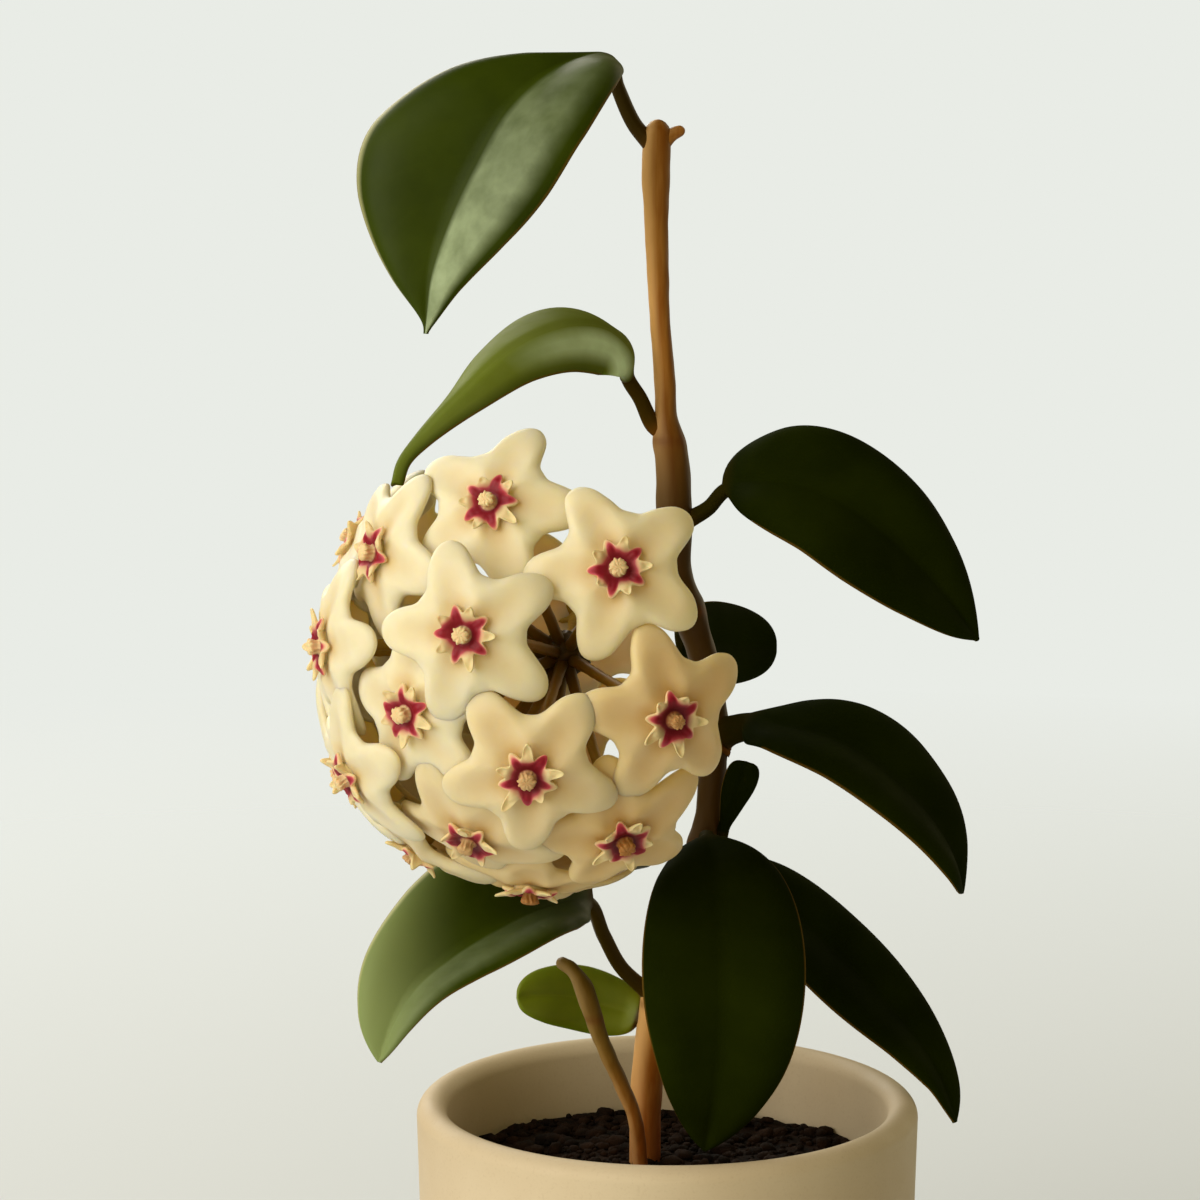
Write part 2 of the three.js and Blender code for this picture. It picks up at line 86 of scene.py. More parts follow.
ROUND_END = (25, 50, 70, 85)
STEM_NODES = (86, 111.5, 128, 147, 160, 172.5)
STUB_ROUTE = [(-1.6, 0, 215.5), (0.4, 0, 217.4), (2.2, 0, 218.2)]
SHOOT_ROUTE = [
    (-4, -1.5, 46), (-4.1, -2, 62.7), (-5.1, -4, 70.4), (-7, -5, 75.5), (-9.1, -6, 80.4),
    (-10.5, -6.5, 84.2), (-11.8, -7, 88.5), (-12.8, -7, 91.2), (-14.3, -6.3, 93.4), (-16.6, -5, 94.6),
]
SHOOT_RADII = [(46, 1.2), (70, 1.1), (82, 1.2), (90, 1.5), (94.6, 1)]

# Leaves: stalk from the stem, midrib to the tip, and the way the face looks from base to tip.
# Each half of a blade has its own width and its own swell: rise rounds it at the base and fall at the
# tip. The half on the left comes first, seen from above the face with the tip pointing down. fold lifts
# both halves off the rib, or lowers them where it is below 0, and curl turns their margins down. soft
# rounds the crease between them, and lobe draws the first half back past the stalk.
LEAF_THICKNESS = 1.3
STALK_RADIUS = 1.05
TIP_RADIUS = 0.35
LOBE_ROUND = 0.04
CREASE_ROUND = 0.004
RIB_GROOVE = 0.22
RIB_GROOVE_WIDTH = 0.55
MARGIN_WAVE = 0.02
FOOT_FLARE = 0.6
FOOT_FLARE_LENGTH = 2.4
FOOT_MARK_LENGTH = 2.6
VEIN_TURNS = 52.0
VEIN_SLANT = 13.0
STALK_STEP = 0.6
LEAF_STEPS = 90
LEAF_SIDES = 64
LEAVES = {
    "leaf_top": dict(
        stalk=[(-2.1, 0, 215.1), (-5.2, 0, 218.9), (-7.6, -0.5, 224.2)],
        rib=[(-8.9, -3, 228), (-15.4, -10, 227.7), (-23, -15, 221.9), (-28, -18, 213.6),
             (-31.8, -20, 205.3), (-34.2, -21.5, 197.8), (-34.9, -22, 190.2)],
        face=[(0.1, -0.35, 1), (-0.6, -0.9, -0.1), (-0.38, -0.9, 0.1)],
        half=(17.9, 15.2), rise=(2.4, 0.75), fall=(1.7, 1), fold=0.45, curl=0.3, look="broad"),
    "leaf_arched": dict(
        stalk=[(-2.2, 0, 174.6), (-4.3, -1.5, 178.8)],
        rib=[(-6.2, -3, 182.2), (-6.1, -5, 185.7), (-9.3, -8, 189.3), (-15.2, -13, 190.2),
             (-22.5, -19, 187.6), (-29.5, -25, 181.9), (-35.5, -29.5, 176.2), (-38, -32, 173.2),
             (-38.9, -34, 170.3)],
        face=[(0.9, -0.25, 0.3), (-0.2, -0.3, 0.9), (-0.4, -0.4, 0.8)],
        half=(9.8, 6.2), rise=(0.62, 0.42), fall=(1.2, 1.3), fold=-0.45, curl=0.15,
        tip_radius=1.1, soft=0.04, look="pale"),
    "leaf_right_upper": dict(
        stalk=[(2.9, 0, 160.5), (5.8, -2, 162.5)],
        rib=[(8.4, -4, 165.5), (14.7, -8, 167.2), (22.6, -11, 165.8), (30.5, -13, 160.8),
             (37.1, -13, 154.5), (41.9, -12, 148.7), (45.1, -10, 144.1)],
        face=[(0.25, -0.75, 0.6), (0.5, -0.75, 0.35)],
        half=(12, 11.6), rise=(0.75, 0.42), fall=(0.92, 0.8), fold=0.3, curl=0.25),
    "leaf_back": dict(
        stalk=[(2.9, 0, 147.5), (2.4, 4, 145.4)],
        rib=[(2.1, 9, 142.4), (4.3, 15, 139.9), (7.9, 21, 138.4), (12.1, 27, 137.1), (17.3, 32, 136)],
        face=[(0.8, -0.5, 0.1), (0.85, -0.45, 0.1)],
        half=(6.6, 6.6), rise=(0.4, 0.4), fall=(0.38, 0.38), fold=0.25, curl=0.2),
    "leaf_right_middle": dict(
        stalk=[(7.8, 0, 128), (9.5, -2, 129.1)],
        rib=[(12.1, -4, 130), (18.6, -8, 130.1), (25.8, -11, 128.4), (32.6, -13, 123.8), (38.3, -13, 117.8),
             (41.7, -12, 111.8), (43.3, -10, 106.1)],
        face=[(0.3, -0.45, 0.85), (0.75, -0.4, 0.5)],
        half=(11.8, 11.8), rise=(0.55, 0.5), fall=(0.75, 0.65), fold=0.35, curl=0.25, stalk_radius=2),
    "leaf_bud": dict(
        stalk=[(7.5, 0, 111.6)],
        rib=[(8.2, -2, 113.9), (9.1, -3.5, 116.8), (9.9, -4.5, 119.6), (10.8, -5, 122.3),
             (11.6, -5, 124.9)],
        face=[(0.3, -0.95, 0.1), (0.3, -0.95, 0.1)],
        half=(2.7, 2.7), rise=(1, 1), fall=(0.28, 0.28), fold=0.2, curl=0.2,
        stalk_radius=0.9, thickness=1.1),
    "leaf_front": dict(
        stalk=[(6, 0, 110.4), (5.6, -5, 113.3)],
        rib=[(5.8, -10, 114.1), (6.7, -18, 111.1), (7.5, -24, 104.6), (7.7, -27, 96.4), (7.5, -27, 87.5),
             (6.5, -25, 78.7), (5.2, -22, 70.3)],
        face=[(0, -0.7, 0.7), (0, -1, -0.05)],
        half=(12.2, 12.2), rise=(0.62, 0.62), fall=(0.75, 0.75), fold=0.25, curl=0.25),
    "leaf_right_lower": dict(
        stalk=[(6.9, 0, 111), (8.5, 3, 109.4)],
        rib=[(10.3, 6, 106.2), (16.7, 9, 100.2), (24.2, 11, 93.2), (31.7, 11, 85.9), (38.1, 9, 78.8),
             (42.1, 6, 72.7), (43.9, 2, 67.5)],
        face=[(0.35, -0.6, 0.7), (0.7, -0.6, 0.4)],
        half=(9.8, 8.8), rise=(0.5, 0.5), fall=(0.75, 0.75), fold=0.3, curl=0.25),
    "leaf_left_lower": dict(
        stalk=[(-1.8, 3.5, 86.3), (-6.9, 1, 91.9), (-9.6, -2, 97.6)],
        rib=[(-12, -6, 103.6), (-18.3, -13, 104.5), (-25.1, -20, 102.9), (-31.6, -25, 99.9),
             (-36.8, -29, 96.2), (-39.8, -31, 91.7), (-41.8, -32, 86.3)],
        face=[(0, -0.8, 0.55), (-0.13, -0.61, 0.78), (-0.4, -0.75, 0.5)],
        half=(14.5, 8.5), rise=(0.35, 0.6), fall=(0.72, 0.78), fold=0.6, curl=0.25, lobe=28, painted_tip_sheen=0.85,
        look="mellow"),
    "leaf_small_low": dict(
        stalk=[(-1.8, 3.5, 82.8)],
        rib=[(-4.1, 5, 83.4), (-9.3, 5.5, 84.9), (-13.9, 5, 86.3), (-18.6, 3.5, 87), (-22.8, 2, 87)],
        face=[(0, -1, 0.25), (0, -1, 0.25)],
        half=(5, 5), rise=(0.36, 0.36), fall=(0.4, 0.4), fold=0.15, curl=0.2,
        stalk_radius=1.4, thickness=1.1, look="young"),
}

# deep is the darkest copy, for the leaves on the right: partly their own dark green, partly painted shade.
# pale is a lighter copy for the arched leaf: painted light.
LEAF_LOOKS = {
    "deep": dict(deep="#161d01", fresh="#1f2702", sheen=0.03, rough=0.2, ior=1.2, stalk="#2c2806"),
    "broad": dict(deep="#2c3902", fresh="#3a4806", sheen=0.1, sheen_and_specks=0.85, painted_rim_light=0.7),
    "mellow": dict(deep="#2c3902", fresh="#3a4806", sheen=0.1, sheen_and_specks=0.3, painted_rim_light=0.7),
    "pale": dict(deep="#6c7a22", fresh="#7e8c3e", sheen=0.05, glow=0.1, painted_highlight_and_shade=0.9, ior=1.2),
    "young": dict(deep="#667210", fresh="#808c1c", glow=0.3),
}

# Flower ball: the way from its centre to each flower, the way the flower faces, and its turn in degrees
BALL_CENTRE = (-15.2, -30, 145.3)
KNOT_RADIUS = 3.6
STALK_ROUTE = [(2.8, 0, 147), (0.5, -7, 150), (-6, -17, 150.5), (-12, -25, 148), (-15.2, -30, 145.3)]
STALK_THICK = 1.3
PEDICEL_RADIUS = 0.7
PEDICEL_STRAIGHT = 8
KNOT_ROWS = 26
KNOT_SIDES = 36
COLLAR_SIDES = 40
FLOWERS = [
    ((-0.29, -0.63, 0.72), (-0.29, -0.86, 0.43), 14),
    ((-0.62, -0.78, -0.1), (-0.64, -0.76, -0.05), -5),
    ((-0.76, -0.43, 0.49), (-0.86, -0.47, 0.19), 24),
    ((-0.94, -0.33, 0.09), (-0.95, -0.3, 0.02), 9),
    ((-0.81, -0.42, -0.4), (-0.85, -0.35, -0.4), 3),
    ((-0.37, -0.69, -0.62), (-0.36, -0.62, -0.7), -21),
    ((0.24, -0.74, -0.62), (0.26, -0.78, -0.57), -20),
    ((-0.14, -0.3, -0.94), (-0.1, -0.33, -0.94), 12),
    ((0.43, -0.9, -0.1), (0.43, -0.9, -0.1), -12),
    ((-0.13, -0.95, -0.3), (-0.08, -0.97, -0.23), -34),
    ((-0.36, -0.9, 0.23), (-0.24, -0.96, 0.11), -18),
    ((0.21, -0.85, 0.48), (0.04, -0.97, 0.26), -22),
    ((-0.86, 0.16, 0.45), (-0.86, 0.16, 0.45), 15),
    ((-0.97, 0.23, -0.02), (-0.97, 0.23, -0.02), 6),
    ((-0.86, 0.16, -0.49), (-0.86, 0.16, -0.49), 3),
    ((-0.6, -0.05, -0.8), (-0.6, -0.05, -0.8), -12),
    ((-0.69, 0.67, 0.26), (-0.69, 0.67, 0.26), 15),
    ((-0.69, 0.67, -0.25), (-0.69, 0.67, -0.25), 12),
    ((-0.48, 0.53, -0.69), (-0.48, 0.53, -0.69), 6),
    ((-0.12, 0.28, -0.94), (-0.12, 0.28, -0.94), 21),
    ((0.04, 0.99, 0), (0.04, 0.99, 0), 30),
    ((-0.13, 0.85, -0.51), (-0.13, 0.85, -0.51), 0),
]

# One flower, in its own frame: z is the way it faces
LOBES = 5
PETAL_REACH = 12.2
NOTCH_REACH = 7.9
PETAL_THICKNESS = 1.2
PETAL_EDGE_ROUND = 0.55
KNOB_TOP = 2.4
CORONA_FOOT = 2.4
CORONA_WAIST = 3.0
STAR_POINT = 1.15
HORN_LENGTHS = (0.5, 2.7)
DISH_EDGE = 1.9
KNOB_OUTLINE = ((1.0, 0.8), (1.02, 1.3), (1.12, 1.7), (1.2, 2.0), (1.02, 2.24), (0.7, 2.34), (0.35, 2.37))
FLOWER_SIDES = 150

# The photo shows flowers 1 to 12. Petals are this much fuller than the lengths above.
SEEN_FLOWERS = 12
FRONT_FULLNESS = 1.03
SIDE_FULLNESS = 1.2
BACK_FULLNESS = {21: 1.3, 22: 1.3}


def unit(v):
    v = np.asarray(v, float)
    return v / np.linalg.norm(v)


def smooth(a, b, x):
    t = np.clip((np.asarray(x, float) - a) / (b - a), 0, 1)
    return t * t * (3 - 2 * t)


def mix(a, b, t):
    return a + (b - a) * t


class Route:
    """A smooth line through points, walked by its length: a centripetal Catmull-Rom curve."""

    def __init__(self, points, fine=40):
        self.points = np.asarray(points, float)
        self.spans = len(self.points) - 1
        self.line = np.array([self.at_span(k / fine) for k in range(self.spans * fine + 1)])
        steps = np.linalg.norm(np.diff(self.line, axis=0), axis=1)
        self.lengths = np.concatenate([[0], np.cumsum(steps)])
        self.length = self.lengths[-1]
        self.fine = fine

    def at_span(self, place):
        p = self.points
        i = min(int(place), self.spans - 1)
        w = place - i
        before = p[i - 1] if i > 0 else 2 * p[0] - p[1]
        after = p[i + 2] if i + 2 < len(p) else 2 * p[-1] - p[-2]
        a, b = p[i], p[i + 1]
        d0, d1, d2 = (np.linalg.norm(q) ** 0.5 for q in (a - before, b - a, after - b))
        start = ((a - before) / d0 - (b - before) / (d0 + d1) + (b - a) / d1) * d1
        end = ((b - a) / d1 - (after - a) / (d1 + d2) + (after - b) / d2) * d1
        square, cube = -3 * a + 3 * b - 2 * start - end, 2 * a - 2 * b + start + end
        return a + start * w + square * w**2 + cube * w**3

    def share_at(self, point_number):
        return self.lengths[self.fine * point_number] / self.length

    def at(self, share):
        s = share * self.length
        return np.array([np.interp(s, self.lengths, self.line[:, k]) for k in range(3)])

    def along(self, share, reach=0.004):
        return unit(self.at(min(share + reach, 1)) - self.at(max(share - reach, 0)))


def by_height(table, z):
    """The value at a height, from a list of (height, value)."""
    heights, values = zip(*table)
    i = int(np.clip(np.searchsorted(heights, z), 1, len(heights) - 1))
    return mix(values[i - 1], values[i], float(smooth(heights[i - 1], heights[i], z)))


def skin(rings, first, last):
    """Points and faces of a closed skin over a row of rings, each end drawn in to a point."""
    rings = np.asarray(rings)
    count, sides = rings.shape[:2]
    points = np.concatenate([rings.reshape(-1, 3), [first, last]])
    faces = []
    for i in range(count - 1):
        for j in range(sides):
            k = (j + 1) % sides
            a, b = i * sides + j, i * sides + k
            faces.append((a, b, b + sides, a + sides))
    end = (count - 1) * sides
    for j in range(sides):
        k = (j + 1) % sides
        faces.append((len(points) - 2, k, j))
        faces.append((len(points) - 1, end + j, end + k))
    return points, faces


class Shape:
    """Points, faces and marks of one piece, gathered from several closed skins."""

    def __init__(self):
        self.points = []
        self.faces = []
        self.marks = {}
        self.count = 0

    def add(self, points, faces, **marks):
        self.faces += [tuple(v + self.count for v in face) for face in faces]
        self.points.append(points)
        for name in sorted(set(self.marks) | set(marks)):
            known = self.marks.setdefault(name, [np.zeros(self.count)] if self.count else [])
            known.append(np.broadcast_to(np.asarray(marks.get(name, 0.0), float), (len(points),)))
        self.count += len(points)

    def piece(self, name, material, nodes):
        mesh = bpy.data.meshes.new(name)
        points = np.clip(np.concatenate(self.points) * MM, *CAD_BOX)
        mesh.from_pydata(points.tolist(), [], self.faces)
        for mark, values in self.marks.items():
            layer = mesh.attributes.new(mark, "FLOAT", "POINT")
            layer.data.foreach_set("value", np.concatenate(values).astype(np.float32))
        mesh.polygons.foreach_set("use_smooth", [True] * len(mesh.polygons))
        mesh.materials.append(material)
        made = bpy.data.objects.new(name, mesh)
        bpy.context.scene.collection.objects.link(made)
        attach(made, "root")
        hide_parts(*nodes)


def colour(code):
    """A shader colour from a screen colour code."""
    parts = [int(code[k : k + 2], 16) / 255 for k in (1, 3, 5)]
    return (*[p / 12.92 if p <= 0.04045 else ((p + 0.055) / 1.055) ** 2.4 for p in parts], 1)


class Look:
    """A procedural material on one Principled shader."""

    def __init__(self, name, **settings):
        self.material = bpy.data.materials.new(name)
        self.material.use_nodes = True
        self.tree = self.material.node_tree
        self.shader = self.tree.nodes["Principled BSDF"]
        for socket, value in settings.items():
            self.shader.inputs[socket.replace("_", " ")].default_value = value

    def node(self, kind, inputs=None, **settings):
        made = self.tree.nodes.new("ShaderNode" + kind)
        for key, value in settings.items():
            setattr(made, key, value)
        for key, value in (inputs or {}).items():
            if isinstance(value, bpy.types.NodeSocket):
                self.tree.links.new(value, made.inputs[key])
            else:
                made.inputs[key].default_value = value
        return made

    def mark(self, name):
        return self.node("Attribute", attribute_name=name).outputs["Fac"]

    def place(self):
        return self.node("TexCoord").outputs["Object"]

    def noise(self, per_mm, detail=3, stretch=(1, 1, 1)):
        scaled = self.node("Mapping", {"Vector": self.place(), "Scale": stretch})
        return self.node(
            "TexNoise", {"Vector": scaled.outputs[0], "Scale": per_mm / MM, "Detail": detail}
        ).outputs["Fac"]

    def maths(self, how, a, b=0.0):
        return self.node("Math", {0: a, 1: b}, operation=how).outputs[0]

    def spread(self, value, low, high, start=0.0, end=1.0):
        """The value, spread from low..high to start..end and held there."""
        names = {"From Min": low, "From Max": high, "To Min": start, "To Max": end}
        return self.node("MapRange", {"Value": value, **names}).outputs[0]

    def blend(self, share, a, b, how="MIX"):
        made = self.node("Mix", data_type="RGBA", blend_type=how)
        for key, value in ((0, share), (6, a), (7, b)):
            if isinstance(value, bpy.types.NodeSocket):
                self.tree.links.new(value, made.inputs[key])
            else:
                made.inputs[key].default_value = value
        return made.outputs[2]

    def ramp(self, value, *stops):
        made = self.node("ValToRGB", {"Fac": value})
        points = made.color_ramp.elements
        while len(points) < len(stops):
            points.new(0.5)
        for point, (place, tint) in zip(points, stops):
            point.position = place
            point.color = tint
        return made.outputs[0]

    def use(self, socket, value):
        self.tree.links.new(value, self.shader.inputs[socket])

    def bump(self, height, distance, strength=1.0):
        made = self.node("Bump", {"Height": height, "Distance": distance * MM, "Strength": strength})
        self.use("Normal", made.outputs[0])


# Materials


def pot_look():
    look = Look("fired clay", Roughness=0.6, Specular_IOR_Level=0.3)
    cloud = look.noise(0.03, 4)
    tint = look.blend(look.spread(cloud, 0.35, 0.65), colour("#c9b696"), colour("#d4c4a7"))
    tint = look.blend(look.spread(look.noise(2.4, 2), 0.55, 0.75, 0, 0.12), tint, colour("#9c8056"))
    look.use("Base Color", tint)
    look.use("Roughness", look.spread(look.noise(0.2, 3), 0.3, 0.7, 0.52, 0.66))
    look.bump(look.noise(0.9, 4, (1, 1, 3)), 0.04, 0.4)
    return look.material


def soil_look():
    look = Look("peat soil", Roughness=0.95, Specular_IOR_Level=0.12)
    tint = look.blend(look.spread(look.noise(0.35, 4), 0.35, 0.7), colour("#0f0905"), colour("#2a190d"))
    look.use("Base Color", tint)
    look.bump(look.noise(2.5, 4), 0.25, 0.8)
    return look.material


def bark_look():
    look = Look("vine bark", Roughness=0.45, Specular_IOR_Level=0.2)
    streak = look.noise(0.8, 4, (1, 1, 0.12))
    tint = look.blend(look.spread(streak, 0.35, 0.68), colour("#a8641e"), colour("#c6883e"))
    # Painted light on the side of the stem towards the key lamp, and painted shade on the side away from
    # it.
    tint = look.blend(look.maths("MULTIPLY", look.mark("sunny"), 0.9), tint, colour("#fcc680"))
    tint = look.blend(look.maths("MULTIPLY", look.mark("shady"), 0.6), tint, colour("#5a2e04"))
    # Painted shade along the middle of the stem, below the flower ball and the leaves.
    tint = look.blend(look.mark("aged"), tint, colour("#362000"))
    tint = look.blend(look.mark("green"), tint, colour("#4a4a14"))
    tint = look.blend(look.maths("MULTIPLY", look.mark("red"), 0.6), tint, colour("#7c3412"))
    tint = look.blend(look.mark("scar"), tint, colour("#6e3a12"))
    look.use("Base Color", tint)
    look.bump(look.noise(1.6, 4, (1, 1, 0.2)), 0.08, 0.5)
    return look.material


def leaf_look(name, deep, fresh, sheen=0.3, glow=0.02, sheen_and_specks=0.0, painted_rim_light=0.0, painted_highlight_and_shade=0.0,
              rough=0.0, ior=1.45, stalk="#46360a"):
    """Deep and fresh colour the blade. sheen_and_specks is the share of a painted sheen on the second half
    and of pale specks. painted_rim_light paints light on the first half's edge, and
    painted_highlight_and_shade paints a highlight on the second half near the stalk, shade along
    that half's margin and a darker tone towards the tip."""
    deep, fresh = colour(deep), colour(fresh)
    look = Look(name, Specular_IOR_Level=sheen, IOR=ior, Subsurface_Weight=glow, Subsurface_Scale=0.0015)
    look.shader.inputs["Subsurface Radius"].default_value = (0.6, 1.0, 0.15)
    side = look.mark("across")
    across = look.maths("ABSOLUTE", side)
    along = look.mark("along")
    cloud = look.noise(0.07, 4)
    blotch = look.noise(0.26, 4)
    tint = look.blend(look.spread(cloud, 0.35, 0.7), deep, fresh)
    slant = look.maths("MULTIPLY", across, VEIN_SLANT)
    slant = look.maths("SUBTRACT", look.maths("MULTIPLY", along, VEIN_TURNS), slant)
    vein = look.spread(look.maths("SINE", slant), 0.9, 1.0)
    tint = look.blend(look.maths("MULTIPLY", vein, 0.05), tint, fresh)
    rib = look.spread(across, 0.03, 0.01)
    tint = look.blend(look.maths("MULTIPLY", rib, 0.25), tint, fresh)
    # Painted sheen: a pale glossy patch on the second half.
    painted_sheen = look.maths("MULTIPLY", look.spread(side, -0.02, -0.12), look.spread(side, -0.92, -0.7))
    painted_sheen = look.maths("MULTIPLY", painted_sheen, look.spread(along, 0.12, 0.85, 0.1, 1))
    painted_sheen = look.maths("MULTIPLY", painted_sheen, look.spread(blotch, 0.3, 0.65, 0.55, 1))
    tint = look.blend(look.maths("MULTIPLY", painted_sheen, sheen_and_specks), tint, colour("#a9ba94"))
    fleck = look.node("TexVoronoi", {"Vector": look.place(), "Scale": 0.16 / MM}).outputs["Distance"]
    fleck = look.maths("MULTIPLY", look.spread(fleck, 0.1, 0.05), look.spread(cloud, 0.52, 0.56))
    tint = look.blend(look.maths("MULTIPLY", fleck, 0.4 * min(1, sheen_and_specks)), tint, colour("#8d9470"))
    # Painted highlight on the second half near the stalk.
    base = look.maths("MULTIPLY", look.spread(side, -0.05, -0.4), look.spread(side, -0.9, -0.6))
    base = look.maths("MULTIPLY", base, look.spread(along, 0.55, 0.2))
    base = look.maths("MULTIPLY", base, look.spread(blotch, 0.3, 0.65, 0.75, 1))
    tint = look.blend(look.maths("MULTIPLY", base, painted_highlight_and_shade), tint, colour("#dcf6d0"))
    # Painted shade along the second half's margin near the stalk.
    painted_margin_shade = look.maths("MULTIPLY", look.spread(side, -0.7, -1.0), look.spread(along, 0.05, 0.3))
    tint = look.blend(look.maths("MULTIPLY", painted_margin_shade, 0.6 * painted_highlight_and_shade), tint, colour("#1a2202"))
    end = look.maths("MULTIPLY", look.spread(along, 0.35, 0.9), 0.5 * painted_highlight_and_shade)
    tint = look.blend(end, tint, colour("#3c4812"))
    # The tip mark paints a sheen towards the tip.
    tint = look.blend(look.mark("tip"), tint, colour("#8a9a62"))
    tint = look.blend(look.mark("under"), tint, look.blend(0.4, fresh, colour("#66752e")))
    # Painted light on the first half's edge.
    painted_edge_light = look.maths("MULTIPLY", look.spread(side, 0.9, 0.97), painted_rim_light)
    tint = look.blend(painted_edge_light, tint, colour("#b8b884"))
    rim = look.spread(across, 0.975, 0.995)
    tint = look.blend(look.maths("MULTIPLY", rim, 0.8), tint, colour("#6e5220"))
    tint = look.blend(look.mark("stalk"), tint, colour(stalk))
    tint = look.blend(look.mark("foot"), tint, colour("#7a4a14"))
    look.use("Base Color", tint)
    look.use("Roughness", look.spread(blotch, 0.3, 0.7, 0.38 + rough, 0.5 + rough))
    height = look.maths("ADD", look.maths("MULTIPLY", vein, -0.2), look.noise(0.5, 3))
    look.bump(height, 0.05, 0.4)
    return look.material


def petal_look():
    look = Look("waxy petal", Roughness=0.45, Specular_IOR_Level=0.35, Subsurface_Weight=0.8)
    look.shader.inputs["Subsurface Radius"].default_value = (1.0, 0.84, 0.4)
    look.shader.inputs["Subsurface Scale"].default_value = 0.0025
    tint = look.blend(look.spread(look.noise(0.25, 3), 0.3, 0.7), colour("#ece0c0"), colour("#f1e8cd"))
    # Painted golden shade round the corona and on the petal backs.
    tint = look.blend(look.mark("gold"), tint, colour("#cba44a"))
    # Painted shade along each petal's hollow.
    tint = look.blend(look.mark("hollow"), tint, colour("#dcc182"))
    # Flowers at the lower right of the ball get painted shade.
    tint = look.blend(look.mark("age"), tint, colour("#dcb85c"), "MULTIPLY")
    look.use("Base Color", tint)
    look.bump(look.noise(3.0, 3), 0.02, 0.3)
    return look.material


def corona_look():
    look = Look("corona", Roughness=0.45, Specular_IOR_Level=0.25, Subsurface_Weight=0.3)
    look.shader.inputs["Subsurface Radius"].default_value = (1.0, 0.4, 0.25)
    look.shader.inputs["Subsurface Scale"].default_value = 0.001
    tint = look.ramp(
        look.mark("red"),
        (0.0, colour("#e9d5a2")),
        (0.3, colour("#e8b090")),
        (0.6, colour("#c84e5c")),
        (1.0, colour("#98162c")),
    )
    # The dish darkens, and the knob browns, on flowers at the lower right of the ball: painted shade.
    dark = look.maths("MULTIPLY", look.mark("dark"), look.spread(look.mark("age"), 0, 1, 0.5, 1))
    tint = look.blend(dark, tint, colour("#4a0410"))
    knob = look.blend(look.mark("age"), colour("#ecd2a0"), colour("#a87236"))
    tint = look.blend(look.mark("knob"), tint, knob)
    look.use("Base Color", tint)
    look.bump(look.noise(4.0, 2), 0.02, 0.3)
    return look.material


def stalk_look():
    look = Look("flower stalk", Roughness=0.5, Specular_IOR_Level=0.2, Subsurface_Weight=0.3)
    look.shader.inputs["Subsurface Scale"].default_value = 0.001
    tint = look.ramp(
        look.mark("tip"), (0.0, colour("#342404")), (0.3, colour("#8a6412")), (1.0, colour("#b8983c"))
    )
    tint = look.blend(look.spread(look.noise(0.8, 3), 0.35, 0.7, 0, 0.3), tint, colour("#6d4a14"))
    look.use("Base Color", tint)
    look.bump(look.noise(2.5, 3), 0.05, 0.4)
    return look.material


# Pot and soil


def turned(profile, sides):
    """Rings of a profile of (radius, height) turned round the Z axis."""
    turns = 2 * np.pi * np.arange(sides) / sides
    rings = [np.stack([r * np.cos(turns), r * np.sin(turns), np.full(sides, z)], 1) for r, z in profile]
    return np.array(rings)


def arc(x, y, radius, start, end, steps):
    return [
        (x + radius * math.cos(math.radians(a)), y + radius * math.sin(math.radians(a)))
        for a in np.linspace(start, end, steps + 1)
    ]


def inside_radius(z):
    top = POT_HEIGHT - LIP_ROUND
    return mix(POT_BASE_RADIUS - WALL, POT_RADIUS - 2 * LIP_ROUND, (z - FLOOR) / (top - FLOOR))


def make_pot():
    wall_top = POT_HEIGHT - LIP_ROUND
    corner = POT_EDGE_ROUND
    outside = []
    for t in np.linspace(0, 1, 20)[1:-1]:
        outside.append((mix(POT_BASE_RADIUS, POT_RADIUS, t), mix(corner, wall_top, t)))
    inside = [(inside_radius(z), z) for z in np.linspace(wall_top, FLOOR + FLOOR_ROUND, 20)[1:]]
    profile = [(r, 0) for r in (8, 16, 24, POT_BASE_RADIUS - corner - 0.5)]
    profile += arc(POT_BASE_RADIUS - corner, corner, corner, -90, 0, 8) + outside
    profile += arc(POT_RADIUS - LIP_ROUND, wall_top, LIP_ROUND, 0, 180, 20) + inside
    profile += arc(inside_radius(FLOOR) - FLOOR_ROUND, FLOOR + FLOOR_ROUND, FLOOR_ROUND, 0, -90, 5)
    profile += [(r, FLOOR) for r in (24, 12, 4)]
    shape = Shape()
    points, faces = skin(turned(profile, POT_SIDES), (0, 0, 0), (0, 0, FLOOR))
    shape.add(points, faces)
    shape.piece("pot_glazed", pot_look(), ["pot"])


def soil_height(x, y):
    at = Vector((x * 0.12, y * 0.12, 3.1))
    fine = Vector((x * 0.55, y * 0.55, 1.7))
    return SOIL_LEVEL + 0.9 * noise.noise(at) + 0.45 * noise.noise(fine)


